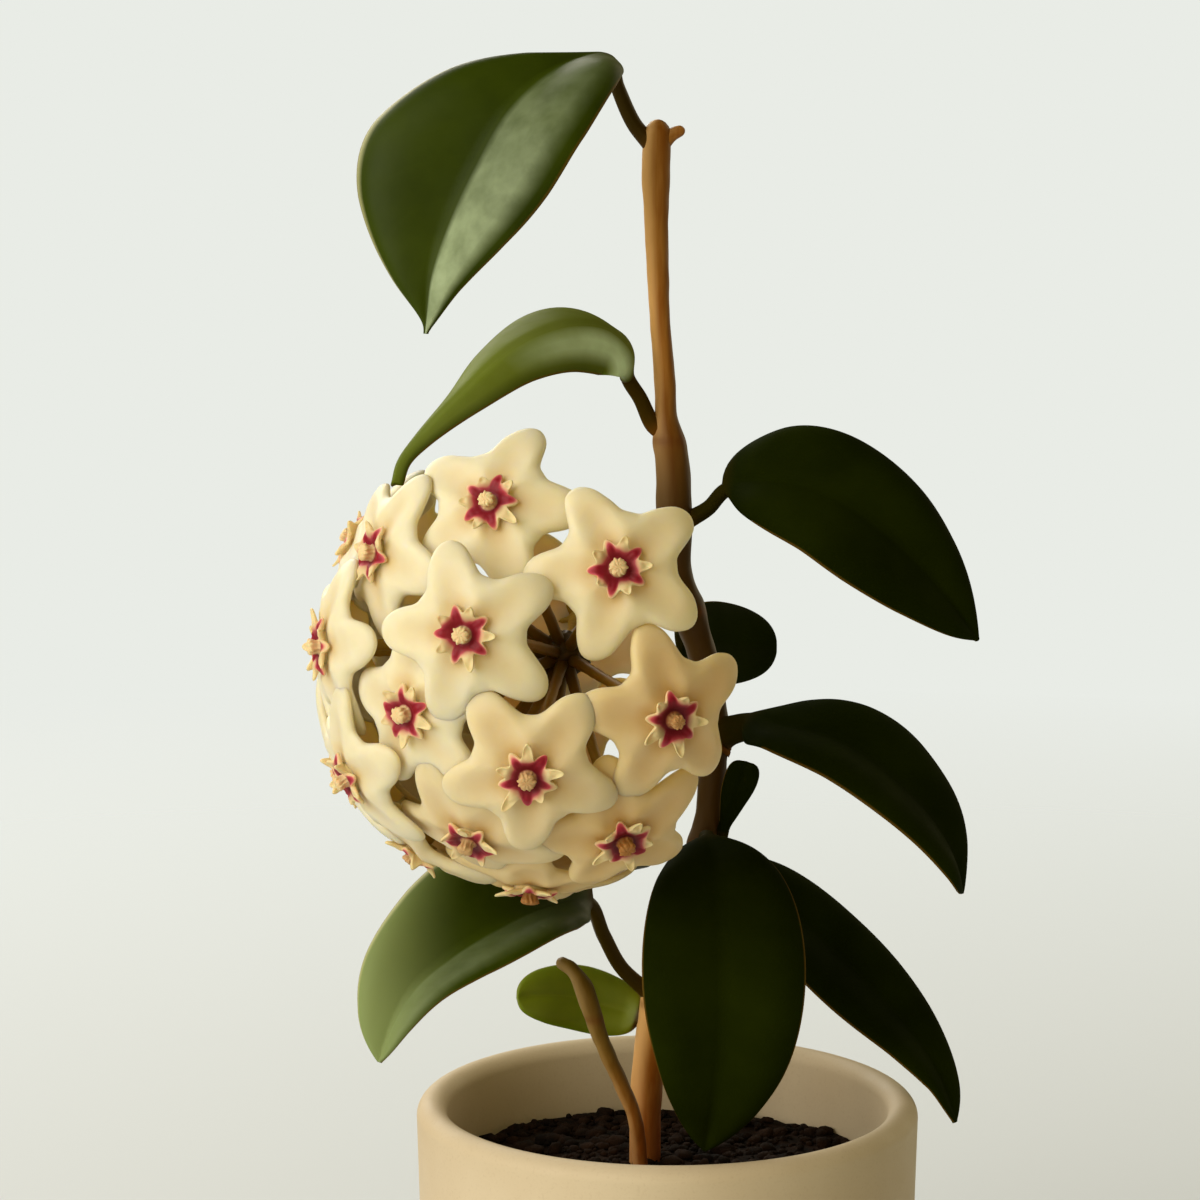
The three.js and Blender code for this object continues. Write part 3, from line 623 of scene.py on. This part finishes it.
def make_soil():
    draw = random.Random(SEED)
    shape = Shape()
    edge = inside_radius(SOIL_LEVEL) - SOIL_GAP
    low = FLOOR + SOIL_GAP
    profile = [(inside_radius(low) - SOIL_GAP, low), (edge, SOIL_LEVEL - 2)]
    profile += [(r, SOIL_LEVEL) for r in np.linspace(edge, 0.4, 60)]
    rings = turned(profile, SOIL_SIDES)
    for ring in rings[2:]:
        for point in ring:
            point[2] = soil_height(point[0], point[1])
    points, faces = skin(rings, (0, 0, low), (0, 0, soil_height(0, 0)))
    shape.add(points, faces)
    for detail, count, sizes in CRUMBS:
        bm = bmesh.new()
        bmesh.ops.create_icosphere(bm, subdivisions=detail, radius=1)
        ball = np.array([v.co[:] for v in bm.verts])
        ball_faces = [tuple(v.index for v in f.verts) for f in bm.faces]
        bm.free()
        for _ in range(count):
            turn = draw.uniform(0, 2 * math.pi)
            out = (edge - 1.2) * math.sqrt(draw.random())
            x, y = out * math.cos(turn), out * math.sin(turn)
            size = draw.uniform(*sizes)
            shift = Vector((draw.uniform(0, 50), draw.uniform(0, 50), draw.uniform(0, 50)))
            rough = np.array([1 + 0.45 * noise.noise(Vector(p) * 1.3 + shift) for p in ball])
            flat = np.array([draw.uniform(0.7, 1.3), draw.uniform(0.7, 1.3), draw.uniform(0.5, 0.9)])
            crumb = ball * rough[:, None] * flat * size
            shape.add(crumb + (x, y, soil_height(x, y) + 0.25 * size), ball_faces)
    shape.piece("soil_crumbs", soil_look(), ["soil"])


# Stems


def tube(route, radius_at, steps, sides, rough=0.0):
    """Rings of a round stem along a route, closed by a dome, and each ring's share of the way."""
    turns = 2 * np.pi * np.arange(sides) / sides
    dome = radius_at(1, route.at(1)[2]) / route.length
    caps = np.sin(np.radians(ROUND_END))
    shares = np.concatenate([np.linspace(0, 1 - dome, steps + 1), 1 - dome * (1 - caps)])
    rings = []
    for share in shares:
        middle, along = route.at(share), route.along(share)
        across = unit(np.cross((0, 1, 0), along))
        other = np.cross(along, across)
        around = np.outer(np.cos(turns), across) + np.outer(np.sin(turns), other)
        past = max(0, (share - 1 + dome) / dome)
        radius = np.full(sides, radius_at(share, middle[2]) * math.sqrt(1 - past**2))
        for j in range(sides if past == 0 else 0):
            spot = middle + around[j] * radius[j]
            radius[j] += rough * noise.noise(Vector((spot[0] * 0.9, spot[1] * 0.9, spot[2] * 0.35)))
        rings.append(middle + around * radius[:, None])
    return np.array(rings), shares


def make_stems(bark):
    def stem_radius(share, z):
        ridge = sum(0.07 * math.exp(-(((z - n) / 1.2) ** 2)) for n in STEM_NODES)
        return by_height(STEM_RADII, z) + ridge

    def add(shape, points_list, radius_at, steps, sides, rough, green):
        route = Route(points_list)
        rings, shares = tube(route, radius_at, steps, sides, rough)
        points, faces = skin(rings, route.at(0), route.at(1))
        # Each point's facing towards the key lamp, for the painted light and painted shade on the bark.
        ways = (rings - rings.mean(axis=1, keepdims=True)).reshape(-1, 3)
        toward_lamp = ways @ unit((-1, -0.35, 0)) / np.linalg.norm(ways, axis=1)
        toward_lamp = np.append(toward_lamp, (0, 0))
        scars = sum(0.5 * np.exp(-(((points[:, 2] - n) / 0.7) ** 2)) for n in STEM_NODES)
        low = 1 - smooth(60, 84, points[:, 2])
        # The stretch below the flower ball and leaves gets painted shade.
        aged = smooth(188, 160, points[:, 2]) * smooth(90, 105, points[:, 2])
        shape.add(
            points, faces, scar=np.clip(scars, 0, 1), green=green * (1 - low), red=low, aged=0.9 * aged,
            sunny=smooth(0.3, 0.95, toward_lamp), shady=smooth(0.1, -0.8, toward_lamp))

    main = Shape()
    add(main, STEM_ROUTE, stem_radius, 360, 28, 0.1, 0.1)
    add(main, STUB_ROUTE, lambda share, z: mix(1.3, 0.75, share), 14, 16, 0.1, 0.1)
    main.piece("vine", bark, ["stem_main"])
    side = Shape()
    add(side, SHOOT_ROUTE, lambda share, z: by_height(SHOOT_RADII, z), 110, 18, 0.14, 0.7)
    side.piece("side_shoot", bark, ["stem_side"])


# Leaves


def leaf_route(leaf):
    """The line from inside the stem along stalk and midrib, and the share of it where the blade begins."""
    foot = leaf["stalk"][0][2] - 1
    heights = [point[2] for point in STEM_ROUTE]
    inside = [float(np.interp(foot, heights, [point[k] for point in STEM_ROUTE])) for k in (0, 1)]
    route = Route([(*inside, foot)] + leaf["stalk"] + leaf["rib"])
    return route, route.share_at(len(leaf["stalk"]) + 1)


def leaf_places(route, blade_from):
    """Each ring's share of the route and of the blade, closer together towards the blade's ends."""
    stalk_steps = max(8, int(blade_from * route.length / STALK_STEP))
    places = [(blade_from * i / stalk_steps, 0.0) for i in range(stalk_steps)]
    for i in range(LEAF_STEPS + 1):
        blade = mix(i / LEAF_STEPS, (1 - math.cos(math.pi * i / LEAF_STEPS)) / 2, 0.65)
        places.append((mix(blade_from, 1, blade), blade))
    return places


def swell(leaf, half, blade):
    """The width of one half of a blade, as a share of its widest."""
    rise, fall = leaf["rise"][half], leaf["fall"][half]

    def bow(place):
        return place**rise * (1 - place) ** fall

    return bow(blade) / bow(rise / (rise + fall))


def make_leaf(name, material):
    leaf = LEAVES[name]
    stalk_radius = leaf.get("stalk_radius", STALK_RADIUS)
    tip_radius = leaf.get("tip_radius", TIP_RADIUS)
    thickness = leaf.get("thickness", LEAF_THICKNESS)
    lobe = leaf.get("lobe", 0)
    soft = leaf.get("soft", CREASE_ROUND)
    fold, curl = leaf["fold"], leaf["curl"]
    route, blade_from = leaf_route(leaf)
    views = [unit(v) for v in leaf["face"]]
    if len(views) == 2:
        views.insert(1, unit(views[0] + views[1]))

    turns = -2 * np.pi * np.arange(LEAF_SIDES) / LEAF_SIDES
    out, up_share = np.cos(turns), np.sin(turns)
    body = np.sign(up_share) * np.abs(up_share) ** 0.75
    crease = 0.94 * (np.sqrt(out**2 + soft) - math.sqrt(soft)) / (math.sqrt(1 + soft) - math.sqrt(soft))
    most = np.where(out > 0, *leaf["half"])
    shift = (len(name) * 7.3) % 11
    rings, marks = [], {"across": [], "along": [], "under": [], "stalk": [], "tip": [], "foot": []}
    for share, blade in leaf_places(route, blade_from):
        middle, along = route.at(share), route.along(share)
        look = (1 - blade) ** 2 * views[0] + 2 * blade * (1 - blade) * views[1] + blade**2 * views[2]
        up = unit(look - look @ along * along)
        side = np.cross(along, up)
        walked = share * route.length
        flare = 1 + FOOT_FLARE * math.exp(-walked / FOOT_FLARE_LENGTH)
        least = mix(stalk_radius * (flare if blade == 0 else 1), tip_radius, blade)
        flat = float(smooth(0, 0.15, blade))
        thick = mix(2 * least, thickness, flat) * (1 - 0.35 * float(smooth(0.75, 1, blade)))
        width = np.hypot(least, most * np.where(out > 0, swell(leaf, 0, blade), swell(leaf, 1, blade)))
        lift = (fold * crease - curl * out**4) * width * flat
        wave = np.sin(blade * 15 + shift + 2 * np.sign(out)) * out**4 * flat * (1 - blade)
        lift = lift + MARGIN_WAVE * width * wave
        full = 1 - (1 - np.clip(width / most, 0, 1)) ** 3
        back = lobe * out**2 * full * (1 - blade) ** 3 * smooth(0, LOBE_ROUND, blade)
        groove = np.exp(-((out * width / RIB_GROOVE_WIDTH) ** 2)) * flat * float(smooth(1, 0.9, blade))
        groove = RIB_GROOVE * groove * np.where(up_share >= 0, -1, -1.2)
        ring = middle + np.outer(width * out * (1 - 0.12 * abs(fold) * flat), side)
        ring += np.outer(lift + thick / 2 * body + groove, up)
        ring -= np.outer(np.where(out > 0, back, 0), along)
        rings.append(ring)
        marks["across"].append(out * flat)
        marks["along"].append(np.full(LEAF_SIDES, blade))
        marks["under"].append(np.where(up_share < -0.02, 1.0, 0.0) * flat)
        marks["foot"].append(np.full(LEAF_SIDES, math.exp(-((walked / FOOT_MARK_LENGTH) ** 2))))
        marks["stalk"].append(np.full(LEAF_SIDES, 1 - float(smooth(0, 0.05, blade))))
        # Painted sheen towards the tip, on the leaves that have one.
        marks["tip"].append(leaf.get("painted_tip_sheen", 0) * smooth(0.5, 1.0, blade + 0.15 * out))
    points, faces = skin(rings, route.at(0), route.at(1))
    values = {k: np.concatenate([np.concatenate(v), [v[0][0], v[-1][0]]]) for k, v in marks.items()}
    shape = Shape()
    shape.add(points, faces, **values)
    shape.piece(name + "_blade", material, [name])


# Flowers


def petal_reach(turns):
    notch = 0.5 - 0.5 * np.cos(LOBES * turns)
    return mix(NOTCH_REACH, PETAL_REACH, (1 - notch) * (1 - notch**3))


def lobeness(turns):
    """1 along the middle of a petal, 0 at a notch."""
    return 0.5 + 0.5 * np.cos(LOBES * turns)


def lobe_number(turns, shift=0.0):
    """The number of the petal nearest to each turn or, with a shift of a half, of the nearest notch."""
    return np.round(turns / (2 * np.pi / LOBES) - shift).astype(int) % LOBES


def petal_face(r, turns, reach, bends):
    """Height of the petals' upper face: bent back, hollowed along each petal, with turned margins."""
    share = r / reach
    lobe = lobeness(turns)
    height = -(r**2) / 80 - 0.5 * (np.maximum(r - 7, 0) / 5) ** 2
    height = height - 0.6 * smooth(0.74, 1.03, share) ** 2
    height = height - 0.42 * lobe**2 * np.exp(-(((r - 7.4) / 2.8) ** 2))
    height = height + 0.45 * (1 - lobe) ** 2 * np.exp(-(((r - 4.9) / 1.6) ** 2))
    return height + bends[lobe_number(turns)] * (np.maximum(r - 5, 0) / 7) ** 2


def corolla_skin(draw, full):
    """The five petals grown together: the back, the rounded edge and the face, with their marks."""
    turns = 2 * np.pi * np.arange(FLOWER_SIDES) / FLOWER_SIDES
    which = lobe_number(turns)
    bends = np.array([draw.uniform(-0.5, 0.15) for _ in range(LOBES)])
    leans = np.array([draw.uniform(-0.09, 0.09) for _ in range(LOBES)])[which]
    grown = np.array([draw.uniform(-0.1, 0.55) for _ in range(LOBES)])[which]
    lobe = lobeness(turns)
    reach = full * petal_reach(turns - leans * lobe) + grown * lobe
    reach = reach + 0.12 * lobe * np.sin(23 * turns + draw.uniform(0, 6)) * (1 - lobe**4)
    shares = np.concatenate([np.linspace(0.08, 0.9, 13), [0.96, 1.0]])
    rings, gold, hollow = [], [], []

    def ring(r, height, face):
        rings.append(np.stack([r * np.cos(turns), r * np.sin(turns), height], 1))
        # Painted golden shade near the corona and on the back, and painted shade in each petal's hollow.
        near = np.exp(-(((r - 3.9) / 1.6) ** 2))
        gold.append(face * (0.22 + 0.33 * lobe) * near + (1 - face) * 0.25)
        hollow.append(face * 0.3 * lobe**2 * np.exp(-(((r - 7) / 2.8) ** 2)))

    for share in shares:
        r = share * (reach - PETAL_EDGE_ROUND)
        ring(r, petal_face(r, turns, reach, bends) - PETAL_THICKNESS, 0)
    for slope in (-60, -30, 0, 30, 60):
        a = math.radians(slope)
        r = reach - PETAL_EDGE_ROUND + PETAL_EDGE_ROUND * math.cos(a)
        sink = PETAL_THICKNESS / 2 * (1 - math.sin(a))
        ring(r, petal_face(r, turns, reach, bends) - sink, slope > 0)
    for share in shares[::-1]:
        r = share * (reach - PETAL_EDGE_ROUND)
        ring(r, petal_face(r, turns, reach, bends), 1)
    points, faces = skin(rings, (0, 0, -PETAL_THICKNESS), (0, 0, 0))
    ends = [0.35, 0.35]
    gold, hollow = np.concatenate(gold), np.concatenate(hollow)
    return points, faces, np.concatenate([gold, ends]), np.concatenate([hollow, [0, 0]])


def corona_skin(draw):
    """The raised star: red points over the petals, pale horns over the notches, a dark dish and a knob."""
    turns = 2 * np.pi * np.arange(FLOWER_SIDES) / FLOWER_SIDES
    wave = np.cos(LOBES * turns)
    star, horn = np.maximum(wave, 0), np.maximum(-wave, 0)
    which = lobe_number(turns, 0.5)
    reach = np.array([draw.uniform(*HORN_LENGTHS) for _ in range(LOBES)])[which]
    raise_by = np.array([draw.uniform(-0.1, 0.8) for _ in range(LOBES)])[which]
    rim = CORONA_WAIST + STAR_POINT * star**1.7 + reach * horn**2.2
    rim_height = 0.95 - 0.45 * star + (0.5 + raise_by) * horn**2
    sway = [draw.uniform(0, 6) for _ in range(3)]
    wobble = 0.3 * np.sin(2 * turns + sway[0]) + 0.2 * np.sin(3 * turns + sway[1])
    wobble = wobble + 0.12 * np.sin(7 * turns + sway[2])
    edge = 2.6 + 1.4 * star**1.6 - 0.2 * horn + wobble
    rings, red, dark, knob = [], [], [], []

    def ring(r, z, is_knob=0.0, face=1.0):
        r = np.broadcast_to(np.asarray(r, float), turns.shape)
        z = np.broadcast_to(np.asarray(z, float), turns.shape)
        rings.append(np.stack([r * np.cos(turns), r * np.sin(turns), z], 1))
        red.append(face * (1 - smooth(-0.9, 0.6, r - edge)))
        dark.append(face * (1 - is_knob) * np.exp(-((np.maximum(r - 1.2, 0) / 1.4) ** 2)) * 0.9)
        knob.append(np.full(turns.shape, is_knob))

    ring(CORONA_FOOT, -0.15, face=0)
    ring(CORONA_FOOT - 0.1, 0.2, face=0)
    for t in (0.15, 0.4, 0.65, 0.85, 0.97):
        bulge = 0.1 * math.sin(math.pi * t)
        ring(mix(CORONA_FOOT - 0.1, rim, t), mix(0.4, rim_height - 0.35, t) - bulge, face=0)
    ring(rim + 0.07, rim_height - 0.17, face=0.3)
    for t in (0.02, 0.08, 0.16, 0.26, 0.38, 0.5, 0.62, 0.74, 0.88, 1.0):
        r = mix(rim, DISH_EDGE, t)
        crest = 0.3 * np.exp(-(((r - 3.0) / 0.7) ** 2))
        spoon = -0.35 * horn**5 * math.sin(math.pi * min(1, t * 1.7)) ** 1.5
        fold = 0.12 * star**6 * math.sin(math.pi * t)
        ring(r, mix(rim_height, 0.85, t) + crest + spoon + fold)
    ring(1.6, 0.7)
    ring(1.3, 0.62)
    lump = [draw.uniform(0, 6) for _ in range(4)]
    size = draw.uniform(0.8, 1)
    for r, z in KNOB_OUTLINE:
        bump = 0.07 * np.cos(9 * turns + lump[0] + 2 * z) + 0.05 * np.cos(6 * turns + lump[1] - 3 * z)
        bump = bump + 0.05 * np.cos(13 * turns + lump[2] + 4 * z)
        low = 0.05 * np.cos(7 * turns + lump[3] + 5 * r) * (z > 1.9)
        ring(size * r * (1 + bump), z + low, is_knob=1.0)
    points, faces = skin(rings, (0, 0, -0.15), (0, 0, 2.34))
    marks = {
        "red": np.concatenate([np.concatenate(red), [0, 0]]),
        "dark": np.concatenate([np.concatenate(dark), [0, 0]]),
        "knob": np.concatenate([np.concatenate(knob), [0, 1]]),
    }
    return points, faces, marks


def flower_axes(face, turn):
    """Three axes of a flower, in rows: along one petal, across it, and the way it faces."""
    z = unit(face)
    up = unit(np.array((0, 0, 1)) - z[2] * z)
    side = np.cross(up, z)
    a = math.radians(turn)
    x = math.cos(a) * up + math.sin(a) * side
    return np.array([x, np.cross(z, x), z])


def flower_origin(number, way, face):
    """Where the flower stands: out along its way, as far as its CAD corona is."""
    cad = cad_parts[f"corona_{number:02d}"]
    corners = np.array([cad.matrix_world @ v.co for v in cad.data.vertices]) / MM
    way, face = unit(way), unit(face)
    reach = np.max((corners - BALL_CENTRE) @ face) - KNOB_TOP
    return np.array(BALL_CENTRE) + way * reach / (way @ face)


def fullness(number):
    """The flowers behind are fuller, so the ball looks closed between the front ones."""
    return FRONT_FULLNESS if number <= SEEN_FLOWERS else BACK_FULLNESS.get(number, SIDE_FULLNESS)


def make_flowers():
    petal, corona = petal_look(), corona_look()
    backs = []
    for i, (way, face, turn) in enumerate(FLOWERS):
        number = i + 1
        draw = random.Random(SEED + number)
        axes = flower_axes(face, turn)
        origin = flower_origin(number, way, face)
        points, faces, gold, hollow = corolla_skin(draw, fullness(number))
        shape = Shape()
        # Flowers towards the lower right of the ball get painted shade.
        age = smooth(-0.5, 0.7, unit(way) @ unit((0.7, 0, -0.7)))
        shape.add(points @ axes + origin, faces, gold=gold, hollow=hollow, age=0.55 * age)
        shape.piece(f"petals_{number:02d}", petal, [f"corolla_{number:02d}"])
        points, faces, marks = corona_skin(draw)
        shape = Shape()
        shape.add(points @ axes + origin, faces, age=age, **marks)
        shape.piece(f"star_{number:02d}", corona, [f"corona_{number:02d}"])
        backs.append((origin, axes))
    return backs


def make_flower_stalk(backs):
    shape = Shape()
    centre = np.array(BALL_CENTRE)

    def add(points_list, radius_at, steps, sides, start, end):
        rings, shares = tube(Route(points_list), radius_at, steps, sides, 0.12)
        points, faces = skin(rings, points_list[0], points_list[-1])
        tips = np.repeat(mix(start, end, shares), sides)
        shape.add(points, faces, tip=np.concatenate([tips, [start, end]]))

    def peduncle(share, z):
        return STALK_THICK * (1 + 0.4 * math.exp(-share * 20) + 0.4 * share**4)

    def pedicel(share, z):
        return PEDICEL_RADIUS * (1.05 + 0.3 * math.exp(-share * 6) + 0.8 * share**10)

    add(STALK_ROUTE, peduncle, 60, 18, 0.5, 0.1)
    turns = 2 * np.pi * np.arange(KNOT_SIDES) / KNOT_SIDES
    rings = []
    for tilt in np.radians(np.linspace(-85, 85, KNOT_ROWS)):
        around = np.stack([np.cos(turns) * math.cos(tilt), np.sin(turns) * math.cos(tilt)], 1)
        rings.append(np.column_stack([around, np.full(KNOT_SIDES, math.sin(tilt))]))
    rough = [1 + 0.3 * noise.noise(Vector(spot) * 2.6) for spot in np.concatenate(rings)]
    radius = KNOT_RADIUS * 0.92
    rings = np.array(rings) * np.reshape(rough, (KNOT_ROWS, KNOT_SIDES, 1)) * radius
    points, faces = skin(rings, (0, 0, -radius), (0, 0, radius))
    shape.add(points + centre, faces, tip=0.0)
    turns = 2 * np.pi * np.arange(COLLAR_SIDES) / COLLAR_SIDES
    reach = 1.1 + 1.5 * lobeness(turns) ** 2
    for origin, axes in backs:
        back = origin - axes[2] * (PETAL_THICKNESS - 0.2)
        knee = back - axes[2] * PEDICEL_STRAIGHT
        root = mix(centre, knee, 0.06)
        add([root, mix(root, knee, 0.6), knee, back], pedicel, 40, 12, 0.0, 1.0)
        rings = []
        for share, drop in ((0.3, -0.5), (0.9, -0.35), (1.0, -0.2), (0.9, -0.05), (0.3, 0.1)):
            r = reach * share
            height = drop - PETAL_THICKNESS - 0.02 * r**2
            rings.append(np.stack([r * np.cos(turns), r * np.sin(turns), height], 1) @ axes + origin)
        points, faces = skin(rings, origin - axes[2] * 1.8, origin - axes[2] * 1.0)
        shape.add(points, faces, tip=0.8)
    shape.piece("stalk_and_pedicels", stalk_look(), ["flower_stalk"])


# Stage


def make_stage():
    floor_mesh = bpy.data.meshes.new("floor")
    sides = 96
    rings = turned([(radius, 0) for radius in (0.15, 0.3, 0.6, 1.2, 2.4)], sides)
    faces = [tuple(range(sides))]
    for i in range(len(rings) - 1):
        for j in range(sides):
            k = (j + 1) % sides
            faces.append((i * sides + j, (i + 1) * sides + j, (i + 1) * sides + k, i * sides + k))
    floor_mesh.from_pydata(rings.reshape(-1, 3).tolist(), [], faces)
    floor = bpy.data.objects.new("floor", floor_mesh)
    bpy.context.scene.collection.objects.link(floor)
    look = Look("floor", Roughness=0.9, Specular_IOR_Level=0.1)
    look.shader.inputs["Base Color"].default_value = colour("#dfe6ee")
    tree = look.tree
    away = look.node("VectorMath", {0: look.place()}, operation="LENGTH").outputs["Value"]
    fade = look.spread(away, 0.12, 0.75)
    clear = look.node("BsdfTransparent")
    both = look.node("MixShader", {0: fade})
    tree.links.new(look.shader.outputs[0], both.inputs[1])
    tree.links.new(clear.outputs[0], both.inputs[2])
    tree.links.new(both.outputs[0], tree.nodes["Material Output"].inputs["Surface"])
    floor_mesh.materials.append(look.material)


def make_lights():
    aim = Vector((-0.005, -0.015, 0.13))
    for name, place, size, power, tint in (
        ("key", (-0.82, -0.56, 0.62), (1.2, 1.2), 13.2, (1, 0.95, 0.87)),
        ("back", (-0.45, 0.8, 0.6), (0.8, 0.6), 6, (1, 0.96, 0.86)),
        ("fill", (-0.35, -1.3, 0.35), (1.2, 1.0), 3.5, (1, 0.83, 0.38)),
        ("far", (0.85, 0.8, 0.5), (1.0, 1.0), 3.5, (1, 0.88, 0.6)),
    ):
        light = bpy.data.lights.new(name, "AREA")
        light.shape = "RECTANGLE"
        light.size, light.size_y = size
        light.energy = power
        light.color = tint
        lamp = bpy.data.objects.new(name, light)
        lamp.location = place
        lamp.rotation_euler = (aim - Vector(place)).to_track_quat("-Z", "Y").to_euler()
        bpy.context.scene.collection.objects.link(lamp)


def make_world():
    world = bpy.data.worlds.new("studio")
    world.use_nodes = True
    tree = world.node_tree
    tree.nodes.clear()
    seen = tree.nodes.new("ShaderNodeBackground")
    seen.inputs["Color"].default_value = colour("#e9ece6")
    lit = tree.nodes.new("ShaderNodeBackground")
    lit.inputs["Color"].default_value = (1, 0.81, 0.36, 1)
    lit.inputs["Strength"].default_value = 0.15
    path = tree.nodes.new("ShaderNodeLightPath")
    both = tree.nodes.new("ShaderNodeMixShader")
    out = tree.nodes.new("ShaderNodeOutputWorld")
    tree.links.new(path.outputs["Is Camera Ray"], both.inputs[0])
    tree.links.new(lit.outputs[0], both.inputs[1])
    tree.links.new(seen.outputs[0], both.inputs[2])
    tree.links.new(both.outputs[0], out.inputs["Surface"])
    bpy.context.scene.world = world
    bpy.context.scene.view_settings.view_transform = "Standard"


def make_camera():
    data = bpy.data.cameras.new("camera")
    data.sensor_width = 36
    data.lens = 122.4
    data.clip_start = 0.01
    camera = bpy.data.objects.new("camera", data)
    camera.location = (-0.0102, -0.6002, 0.2435)
    camera.rotation_euler = (math.radians(90 - 9), 0, 0)
    bpy.context.scene.collection.objects.link(camera)
    bpy.context.scene.camera = camera


make_camera()
make_world()
make_lights()
make_stage()
make_pot()
make_soil()
make_stems(bark_look())
looks = {key: leaf_look(key + " leaf", **settings) for key, settings in LEAF_LOOKS.items()}
for leaf_name in LEAVES:
    make_leaf(leaf_name, looks[LEAVES[leaf_name].get("look", "deep")])
make_flower_stalk(make_flowers())
